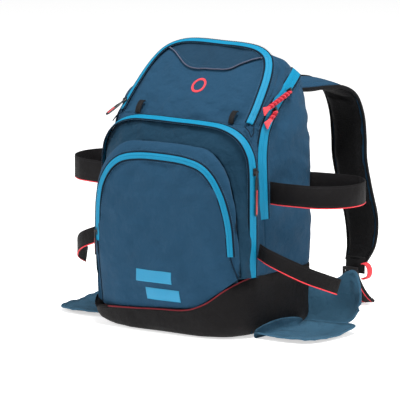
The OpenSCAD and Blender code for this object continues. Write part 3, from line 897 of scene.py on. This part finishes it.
def main_zips():
    """The main zip's two runs down the sides. They turn from facing up and back to facing out and forward."""
    stations = [0, 0.1, 0.25, 0.5, 0.62, 1]
    facings = [(0.6, 0.75, 0.85, 0.93, 0.92, 0.9), (0.3, 0.15, 0.08, -0.12, -0.4, -0.43),
               (0.74, 0.65, 0.5, 0.3, 0.1, 0)]
    for side, label in SIDES:
        line = even(catmull(LEG[2:], 8)[::-1], 170) * (side, 1, 1)
        t = np.linspace(0, 1, len(line))
        up = np.stack([np.interp(t, stations, values) for values in facings], axis=1) * (side, 1, 1)
        zip_line(f"main_zip_tape_{label}", line + unit(up) * 1.2, up, TAPE_W + 6, "pack",
                 [f"main_zip_track_{label}"])


def divider():
    """The wall between the main and the middle compartment."""
    def bottom(s):
        return [(2 * s - 1) * 158, WALL_Y + 1, 6]
    half = [[p[0] * 0.96, WALL_Y + 1, p[2] - 6] for p in MIDDLE_ZIP]
    half[-1] = [158, WALL_Y + 1, 6]
    grid = soften(inside_outline(half, bottom, 41, 41), -Y, 53, swell=0.9)
    panel("divider_cloth", grid, LINING, -Y, "pack", ["divider_panel"], 1.2)


def bellows():
    """Pleated cloth inside each end of the middle zip, flat at rest."""
    inner, outer, pleats = WALL_Y - 0.6, WALL_Y - 4.4, 3
    t, z = np.meshgrid(np.linspace(0, 1, 13), np.linspace(104, 296, 30), indexing="ij")
    for side, label in SIDES:
        x = side * (157 - 13 * np.abs(np.sin(t * pleats * math.pi)))
        grid = np.stack([x, inner + (outer - inner) * t, z], axis=2)
        # The bellows use the darker copy of the blue: painted shade.
        obj = cloth_patch(f"middle_bellows_{label}", grid, GUSSET_PAINTED_SHADE, X * side, thickness=0.5)
        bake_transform(obj)


# ---------------------------------------------------------------- base
def base_tray():
    """The coated base: a rounded tray whose top edge follows the seam."""
    corners = []
    for side in (1, -1):
        half = np.array(PLAN if side > 0 else PLAN[:3] + SLUMPED_CORNER + PLAN[6:]) * (side, 1.0)
        seams = np.where(half[:, 1] < -61, seam_z(half[:, 0] * 0.985, half[:, 1]), BASE_TOP)
        corners.append(np.concatenate([half, seams[:, None]], axis=1))
    ring = catmull(np.concatenate([corners[0], corners[1][-2:0:-1], corners[0][:1]]), 8)[:-1]
    x, y, top = ring.T
    radial = unit(ring * (1, 1, 0))
    left_corner = np.clip((-x - 118) / 22, 0, 1) * np.clip((-80 - y) / 18, 0, 1)
    # The front corners stand a little off the floor, the left one more.
    lift = np.where(x > 0, 6, 13) * np.clip((np.abs(x) - 90) / 60, 0, 1) * np.clip(-y / 90, 0, 1)
    rows = []
    for inset, height in ((70, 0), (34, 0), (20, 1.5), (10, 6), (4, 13), (1, 22), (0, ROUNDING)):
        row = ring - radial * inset
        row[:, 2] = np.minimum(height + lift * (0.3 + height / 40) * (height > 0), top)
        rows.append(row)
    for share in (0.33, 0.66, 1):
        rows.append(ring * (1, 1, 0) + Z * (ROUNDING + (top - ROUNDING) * share)[:, None])
    rows.append(rows[-1] - radial * (2 + (LEFT_TUCK + 2) * left_corner)[:, None])
    grid = np.stack(rows, axis=1)
    swell = (rumple(grid, 61, 80, 1.0) + rumple(grid, 62, 30, 0.35)) * (0, 0, 0, .5, 1, 1, 1, 1, .7, 0, 0)
    grid += unit(grid * (1, 1, 0)) * swell[..., None]
    m, n = grid.shape[:2]
    faces = [tuple(k % (m * n) for k in face) for face in grid_faces(m + 1, n)]
    faces.append(tuple(range(0, m * n, n))[::-1])
    obj = closed_mesh("base_tray", grid.reshape(-1, 3), faces, BASE, grid_uvs(grid))
    thicken(obj, 2.4)
    piece(obj, "pack", BASE_NODES)
    seam = np.roll(grid[:, -1], m // 2, axis=0)
    front = seam[seam[:, 1] < WALL_Y]
    out = unit(front * (1, 1, 0))
    tube("base_piping_cord", front + out * 0.8, 1.5, DARK_RED, "pack", ["base_piping"])
    stitch_row("base_stitches", front + out * 0.6 - Z * 5.5, out, "pack")


# ---------------------------------------------------------------- back, straps and webbing
def pillow(x0, x1, z0, z1, y, height, count=14):
    """Points and faces of one closed pad, crowned towards the wearer: its two skins share their edge."""
    a = np.linspace(-1, 1, count)
    across, along = np.meshgrid(a, a)
    swell = (1 - across ** 6) * (1 - along ** 6)
    # The sides pull in between the corners.
    x = (x0 + x1) / 2 + (x1 - x0) / 2 * across * (1 - 0.05 * (1 - along ** 2))
    z = (z0 + z1) / 2 + (z1 - z0) / 2 * along * (1 - 0.03 * (1 - across ** 2))
    outer = np.stack([x, y + height * swell ** 0.55, z], axis=2).reshape(-1, 3)
    inner = np.stack([x, y - 1.5 * swell ** 0.55, z], axis=2).reshape(-1, 3)
    index = np.arange(count * count).reshape(count, count)
    edge = np.zeros((count, count), bool)
    edge[[0, -1], :] = edge[:, [0, -1]] = True
    back = np.where(edge, index, index + count * count)
    faces = grid_faces(count, count)
    faces += [tuple(back.ravel()[list(face)][::-1]) for face in faces]
    return np.concatenate([outer, inner]), faces


def back_pads():
    """The padded back: a mesh panel with three columns of pads, and sewn channels between them."""
    xs, zs = np.meshgrid(np.linspace(-119, 119, 30), np.linspace(104, 448, 40))
    grid = np.stack([xs, np.full_like(xs, BACK_Y - 0.5), zs], axis=2)
    grid[..., 1] += rumple(grid, 71, 40, 0.35)
    panel("back_mesh", grid, MESH, Y, "pack", ["back_panel"], inner=FOAM)
    points, faces = [], []
    for x0, x1 in ((-113, -44), (-38, 38), (44, 113)):
        for z0, z1 in ((113, 202), (208, 327), (333, 398)):
            pad, skin = pillow(x0, x1, z0, z1, BACK_Y, 7.0)
            faces += [tuple(k + len(points) * len(pad) for k in face) for face in skin]
            points.append(pad)
    obj = closed_mesh("back_pads", np.concatenate(points), faces, MESH)
    puff(obj, cap=3.0)
    piece(obj, "pack", ["back_padding"])
    for side, label in SIDES:
        seam = [[side * 41, BACK_Y + 0.4, z] for z in np.linspace(112, 400, 60)]
        stitch_row(f"back_channel_{label}", seam, Y, "pack")


# Centre X, Y, Z of the right strap, its width, and how many degrees its outer edge hangs lower.
STRAP_ROUTE = [(88, 136, 424, 70, 8), (92, 170, 423, 73, 10), (97, 215, 421, 75, 10), (102, 254, 414, 75, 8),
               (106, 286, 393, 75, 5), (109, 303, 355, 75, 2), (111, 307, 312, 75, 0), (114, 306, 270, 74, 0),
               (120, 315, 215, 73, 0), (127, 325, 160, 71, 0), (131, 320, 115, 61, 0), (131, 303, 84, 44, 0)]
TAIL_ROUTE = [(128, 296.5, 71, 25, 0), (130, 300, 50, 25, -25), (134, 309, 27, 25, -50),
              (138, 321, 11, 25, -38), (139, 334, 3.5, 25, -8)]
ANCHOR_ROUTE = [(140, 126, 66), (139, 150, 50), (136, 190, 38), (132, 235, 36), (129, 265, 44),
                (128, 284, 58)]


def ribbon_frame(route, side, per=8):
    """A strap's centre line, widths and directions: it lies flat across X and its outer face is up."""
    route = np.asarray(route, float)
    line = catmull(route[:, :3] * (side, 1, 1), per)
    width, tilt = np.full(len(line), WEBBING_W), np.zeros(len(line))
    if route.shape[1] > 4:
        width, tilt = (catmull(np.stack([route[:, k]] * 3, axis=1), per)[:, 0] for k in (3, 4))
    tilt = np.radians(tilt)
    along = unit(np.gradient(line, axis=0))
    across = np.stack([np.cos(tilt), np.zeros(len(line)), -side * np.sin(tilt)], axis=1)
    across = unit(across - along * np.sum(across * along, axis=1, keepdims=True))
    up = unit(np.cross(across, along))
    return line, width, across, up


def shoulder_strap(side, label):
    """Padded mesh on the inner face, blue cloth on the outer, and bound edges."""
    line, width, across, up = ribbon_frame(STRAP_ROUTE, side)
    wide = across * width[:, None]
    flat_side = [(a, 1.5) for a in (0.44, 0, -0.44)]
    pad_profile = [(a, 1.5 - 8.5 * (1 - abs(2 * a) ** 4) ** 0.7) for a in np.linspace(-0.48, 0.48, 15)]
    pad = sweep(f"strap_pad_{label}", line, wide, up, pad_profile + flat_side, MESH)
    puff(pad, cap=2.5)
    piece(pad, f"strap_{label}", [f"shoulder_strap_{label}"])
    face_profile = [(a, 1.8 + 4.5 * (1 - abs(2 * a) ** 3)) for a in np.linspace(-0.48, 0.48, 13)]
    face_profile += [(a, 1.6) for a, _ in flat_side]
    strip(f"strap_face_{label}", line, wide, up, face_profile, BLUE, f"strap_{label}")
    for edge in (-1, 1):
        rim = line + wide * 0.487 * edge + up * 1.6
        name = f"strap_binding_{label}_{'inner' if edge * side < 0 else 'outer'}"
        oval = [(x * 1.1, y * 1.6) for x, y in tube_profile(2.1)]
        strip(name, rim, across, up, oval, BLACK_CLOTH, f"strap_{label}")
        for face, height in (("front", 4.6), ("back", -1.9)):
            seam = line + wide * 0.43 * edge + up * height
            stitch_row(f"{name}_{face}_stitches", seam, up * np.sign(height), f"strap_{label}")


def striped_webbing(name, line, across, up, body, replaces):
    """Black webbing with two thin red stripes woven near its edges."""
    strip(name, line, across, up, flat_profile(WEBBING_W, WEBBING_T), WEBBING, body, replaces)
    stripe = flat_profile(1.5, 0.3, 0.1)
    for edge, letter in ((-1, "a"), (1, "b")):
        for face, height in (("front", WEBBING_T + 0.05), ("back", -0.35)):
            place = line + across * edge * 6.5 + up * height
            strip(f"{name}_stripe_{letter}_{face}", place, across, up, stripe, RED_CLOTH, body)


def strap_ends(side, label):
    """Below a strap: the tab its end is sewn to, its tail with a folded tip, its anchor and its red loop."""
    strap, tail = f"strap_{label}", f"tail_{label}"
    line, _, across, up = ribbon_frame([(131.5, 302, 92), (131.5, 300.5, 80), (131.5, 299.5, 62)], side)
    strip(f"strap_end_{label}", line, across, up, flat_profile(42, WEBBING_T), WEBBING, strap)
    line, _, across, up = ribbon_frame(TAIL_ROUTE, side)
    striped_webbing(f"tail_{label}_webbing", line - up, across, up, tail, [f"webbing_tail_{label}"])
    tip = slice(-4, None)
    strip(f"tail_{label}_fold", line[tip] + up[tip], across[tip], up[tip], flat_profile(WEBBING_W, WEBBING_T),
          WEBBING, tail)
    line, _, across, up = ribbon_frame(ANCHOR_ROUTE, side)
    striped_webbing(f"anchor_{label}_webbing", line - up, across, up, "pack", [f"anchor_webbing_{label}"])
    low, high = box_mm(f"strap_loop_{label}")
    a = np.linspace(-1.9, 1.9, 24)[:, None]
    out = X * side * np.cos(a) + Z * np.sin(a)
    loop = (low + high) / 2 + X * side * (np.cos(a) * 10 - 4) + Z * np.sin(a) * 13
    strip(f"strap_red_loop_{label}", loop, Y, out, flat_profile(14, 2.4), RED_CLOTH, strap,
          [f"strap_loop_{label}"])


def strap_yoke():
    """The stiff panel that the shoulder straps are sewn into, and the haul loop above it."""
    low, high = box_mm("strap_yoke")
    xs, zs = np.meshgrid(np.linspace(low[0], high[0], 50), np.linspace(high[2] + 2, low[2], 16))
    grid = np.stack([xs, np.full_like(xs, high[1] + 1.5), zs], axis=2)
    grid[..., 1] += crown(grid, 2.5, 6)
    grid = soften(grid, Y, 73, swell=0.5)
    panel("strap_yoke_cloth", grid, BASE, Y, "pack", ["strap_yoke"], 2.5)
    for row in (1, -2):
        stitch_row(f"strap_yoke_stitches_{row + 2}", grid[row] + Y * 0.3, Y, "pack")
    low, high = box_mm("haul_loop")
    a = np.linspace(0, math.pi, 40)[:, None]
    spread = X * 42 * np.cos(a) + Z * 30 * np.sin(a)
    foot = ((low + high) / 2) * (1, 1, 0) + Z * low[2]
    strip("haul_loop_webbing", foot + spread, Y, unit(spread), flat_profile(9, 3.0, 1.0), WEBBING, "haul",
          ["haul_loop"])


# ---------------------------------------------------------------- boot bays
BOOT = (235, 58, 70)          # centre X, Y and radius of a boot's shaft
BAND_Z = 258
FLOOR_GAP = 1.2               # cloth edges stay this far above the floor
INSTEP_ROUTE = [(169, -52, 158), (195, -58, 150), (228, -50, 136), (255, -25, 118), (272, 5, 104),
                (280, 35, 92)]
# The heel panel runs out from the back corner and round the heel: X, Y, lower edge and upper edge.
HEEL_ROUTE = [(149, 109, 1.2, 94), (178, 127, 1.2, 80), (203, 137, 1.2, 82), (222, 139.5, 3, 96),
              (240, 138, 13, 98), (258, 128, 30, 72), (271, 113, 36, 48)]


def standing_band(name, route, width, side, body, replaces):
    """A band on edge along a route, with a red cord along its lower edge and stitches beside both edges."""
    line = catmull(np.asarray(route, float) * (side, 1, 1), 6)
    along = unit(np.gradient(line, axis=0))
    out = unit(np.cross(along, Z)) * side
    down = unit(np.cross(out, along))
    down *= -np.sign(down[:, 2:3])
    w, t = width / 2, 2.2
    profile = [(-w + 0.5, 0), (-w, 0.8), (-w, t - 0.8), (-w + 0.5, t), (w - 0.5, t), (w, t - 0.8), (w, 0.8),
               (w - 0.5, 0)]
    strip(name, line, down, out, profile, BASE, body, replaces)
    tube(f"{name}_red_edge", line + down * w + out * t * 0.6, 1.25, RED_CLOTH, body)
    for edge, where in ((-1, "top"), (1, "low")):
        seam = line + down * edge * (w - 4) + out * (t + 0.1)
        stitch_row(f"{name}_stitches_{where}", seam, out, body)


def boot_bands(side, label):
    """The upper band goes round the boot's shaft and back to the bag. The lower one holds its instep."""
    x, y, r = BOOT
    arc = [(x + r * math.cos(a), y + r * math.sin(a)) for a in np.radians(range(-75, 76, 15))]
    route = [(*place, BAND_Z) for place in [(166.5, -14), (196, -16), *arc, (200, 121), (152.5, 109.5)]]
    standing_band(f"boot_band_cloth_{label}", route, 40, side, f"band_{label}", [f"boot_band_{label}"])
    standing_band(f"instep_cloth_{label}", INSTEP_ROUTE, 28, side, f"instep_{label}",
                  [f"instep_strap_{label}"])


def heel_panel(side, label):
    """The curtain of cloth behind the boot's heel."""
    route = catmull(HEEL_ROUTE, 8)
    line = route[:, :2] @ np.array([X * side, Y])
    low, high = np.maximum(route[:, 2:3], FLOOR_GAP), route[:, 3:4]
    out = unit(np.cross(unit(np.gradient(line, axis=0)), Z)) * side
    rows = []
    for t in np.linspace(0, 1, 18):
        lean = out * (5 * math.sin(t * math.pi) - 6 * t ** 2) * high / 96
        rows.append(line + lean + Z * (low + (high - low) * t))
    grid = soften(np.array(rows), Y, 81 + side, swell=2.6, crease=1.4, pucker=0.5)
    # The heel cloth and its binding use the lighter cradle colour: painted light.
    obj = panel(f"heel_cloth_{label}", grid, CRADLE_PAINTED_LIGHT, Y, "pack", [f"heel_panel_{label}"], 2.2,
                inner=CRADLE_PAINTED_LIGHT)
    edge = np.concatenate([grid[-1], grid[-2::-1, -1], grid[0, -2:len(line) // 2:-1]])
    tube(f"heel_binding_{label}", even(edge, 120), 1.5, CRADLE_PAINTED_LIGHT, "pack")


def cradle_root(side, label):
    """The strip that sews the cradle to the base's side."""
    y = np.linspace(-60, 90, 40)
    wall = np.interp(y, [p[1] for p in PLAN[6:11]], [p[0] for p in PLAN[6:11]])
    top = 10 + 14 * np.sin(np.linspace(0, math.pi, len(y))) ** 0.5
    rows = [np.stack([side * (wall + out), y, 1.6 + (top - 1.6) * share], axis=1)
            for share, out in ((1, 0.4), (0.8, 1.0), (0.5, 0.5), (0.25, 0.8), (0.08, 2.4), (0, 5.0))]
    grid = soften(loft(rows, 4), X * side, 97 + side, swell=0.6, crease=0.5)
    # Painted light: the lighter cradle colour.
    panel(f"cradle_root_{label}", grid, CRADLE_PAINTED_LIGHT, X * side, "pack", thickness=1.4)
    stitch_row(f"cradle_root_stitches_{label}", rows[1] + (0.4 * side, 0, 1.5), X * side, "pack")


def boot_cradle(side, label):
    """The cloth that a boot stands on. Its rim lifts, most at the heel."""
    body = f"cradle_{label}"
    low, high = box_mm(f"boot_cradle_{label}")
    root = low[0] if side > 0 else high[0]
    far = catmull([(0, -60, 0), (60, -65, 0), (100, -56, 0), (120, -30, 0), (125, 25, 0), (122, 72, 0),
                   (98, 91, 0), (0, 91.5, 0)], 7)
    grid = np.array([Y * 15 * (1 - t) + far * t for t in (0.02, 0.2, 0.4, 0.6, 0.75, 0.88, 0.95, 1.0)])
    grid[:, :, 0] = root + grid[:, :, 0] * side
    rim = np.linalg.norm(grid[..., :2] - grid[:1, :, :2], axis=2) / np.linalg.norm(far, axis=1)
    lift = (5 + 9 * np.clip((grid[..., 1] - 25) / 60, 0, 1)) * np.clip(rim - 0.6, 0, 1) / 0.4
    grid[..., 2] = 2.6 + np.abs(rumple(grid, 91 + side, 48, 2.4)) + lift
    # The cradle's top uses the lighter cradle colour: painted light.
    obj = panel(f"cradle_cloth_{label}", grid, CRADLE_PAINTED_LIGHT, Z, body, [f"boot_cradle_{label}"],
                2.0, BASE)
    tube(f"cradle_binding_{label}", grid[-1] - Z * 0.6, 1.6, CRADLE_PAINTED_LIGHT, body)
    stitch_row(f"cradle_stitches_{label}", grid[6] + Z * 0.4, Z, body)


# ---------------------------------------------------------------- zip pulls
def pull_frame(node, joint_name):
    """Pin, direction along the pull and axis of its pin, in mm, from the frame."""
    pin = np.array(joint(joint_name)["pos_m"]) / MM
    axis = unit(np.array(joint(joint_name)["axis"], float))
    points = np.array([v.co for v in frame["nodes"][node].data.vertices]) / MM
    along = points[np.argmax(np.linalg.norm(points - pin, axis=1))] - pin
    along -= axis * (along @ axis)
    reach = np.linalg.norm(along)
    along = along / reach
    return pin, along, axis, np.cross(along, axis), reach


def cord_pull(node, joint_name, body):
    """Two red strands twisted together, the second painted lighter as a highlight, ending in a flared moulded
    grip.
    """
    pin, along, axis, up, reach = pull_frame(node, joint_name)
    grip = 20.0
    turns = (reach - grip) / 10.0
    t = np.linspace(0, 1, int(turns * 20) + 10)
    for strand in (0, 1):
        angle = 2 * math.pi * turns * t + math.pi * strand
        radius = 2.4 * np.clip(t * 6, 0.4, 1)
        line = (pin + along * (t * (reach - grip + 3))[:, None] + axis * (np.cos(angle) * radius)[:, None]
                + up * (np.sin(angle) * radius)[:, None])
        name = f"{node}_strand_{strand + 1}"
        tube(name, line, 2.2, CORD_AND_HIGHLIGHT[strand], body, [node] if strand == 0 else [])
    # Along the grip: how far, half width, half thickness.
    stations = [(0, 3.4, 3.2), (4, 3.6, 3.2), (10, 5.4, 2.8), (16, 7.6, 2.4), (19, 8.4, 2.0), (20, 7.6, 1.2)]
    rings, sides = [], 16
    for s, w, h in stations:
        for c, rise in tube_profile(1, sides):
            across = math.copysign(abs(c) ** 0.65, c)
            rings.append(pin + along * (reach - grip + s) + axis * w * across + up * h * rise)
    piece(closed_mesh(f"{node}_grip", rings, tube_faces(len(stations), sides), RED_RUBBER), body)


def tab_pull(node, joint_name, body, red_from):
    """A black moulded tab on a metal eye, with a red inlay along its outer end."""
    pin, along, axis, up, reach = pull_frame(node, joint_name)
    s = np.array([-2.2, -1.0, 2, 5, 8, 12, 16, reach * 0.5, reach - 6, reach - 2, reach])
    w = np.array([1.2, 2.2, 2.6, 2.0, 1.6, 2.0, 3.2, 3.6, 3.6, 2.9, 1.4])
    profile = [(-1, -0.5), (-0.7, -1.1), (0.7, -1.1), (1, -0.5), (1, 0.5), (0.7, 1.1), (-0.7, 1.1), (-1, 0.5)]
    strip(f"{node}_tab", pin + along * s[:, None], axis * w[:, None], up, profile, BLACK_PLASTIC, body,
          [node])
    run = pin + along * np.linspace(reach * red_from, reach - 4, 12)[:, None]
    inlay = [(-0.6, -0.25), (0.6, -0.25), (0.6, 0.25), (-0.6, 0.25)]
    for face, letter in ((-1, "a"), (1, "b")):
        place = run + up * face * 1.05
        strip(f"{node}_inlay_{letter}", place, axis * 1.7, up, inlay, RED_RUBBER, body)


def dress_cad_nodes():
    """The rigid CAD pieces that stay get their finish."""
    finishes = {"slider": ENAMEL, "adjuster": BLACK_PLASTIC, "frame_sheet": SHEET_PLASTIC}
    for name, node in frame["nodes"].items():
        for word, material in finishes.items():
            if word in name:
                node.data.materials.clear()
                node.data.materials.append(material)
                bevel = node.modifiers.new("soft_edges", "BEVEL")
                bevel.width, bevel.segments, bevel.limit_method = 0.5 * MM, 2, "ANGLE"


add_camera()
add_stage()
front_grid = front_panel()
front_bars(front_grid)
middle_block()
middle_zips()
pocket_side_seams()
pocket_back()
panel_grid = upper_panel()
yoke(panel_grid)
hood_cloth()
upper_zip()
hood_inner()
storm_flap()
front_ring(panel_grid)
loop_tabs()
shoulder_cloth()
shoulder_seams()
main_zips()
divider()
bellows()
base_tray()
back_pads()
strap_yoke()
for side, label in SIDES:
    side_cloth(side, label)
    shoulder_strap(side, label)
    strap_ends(side, label)
    boot_bands(side, label)
    heel_panel(side, label)
    cradle_root(side, label)
    boot_cradle(side, label)
for end in ("top", "low"):
    cord_pull(f"main_zip_pull_{end}", f"main_pull_{end}_swing", f"main_pull_{end}")
for zip_name, red_from in (("upper", 0.55), ("middle", 0.4), ("pocket", 0.3)):
    tab_pull(f"{zip_name}_zip_pull", f"{zip_name}_pull_swing", f"{zip_name}_pull", red_from)
dress_cad_nodes()
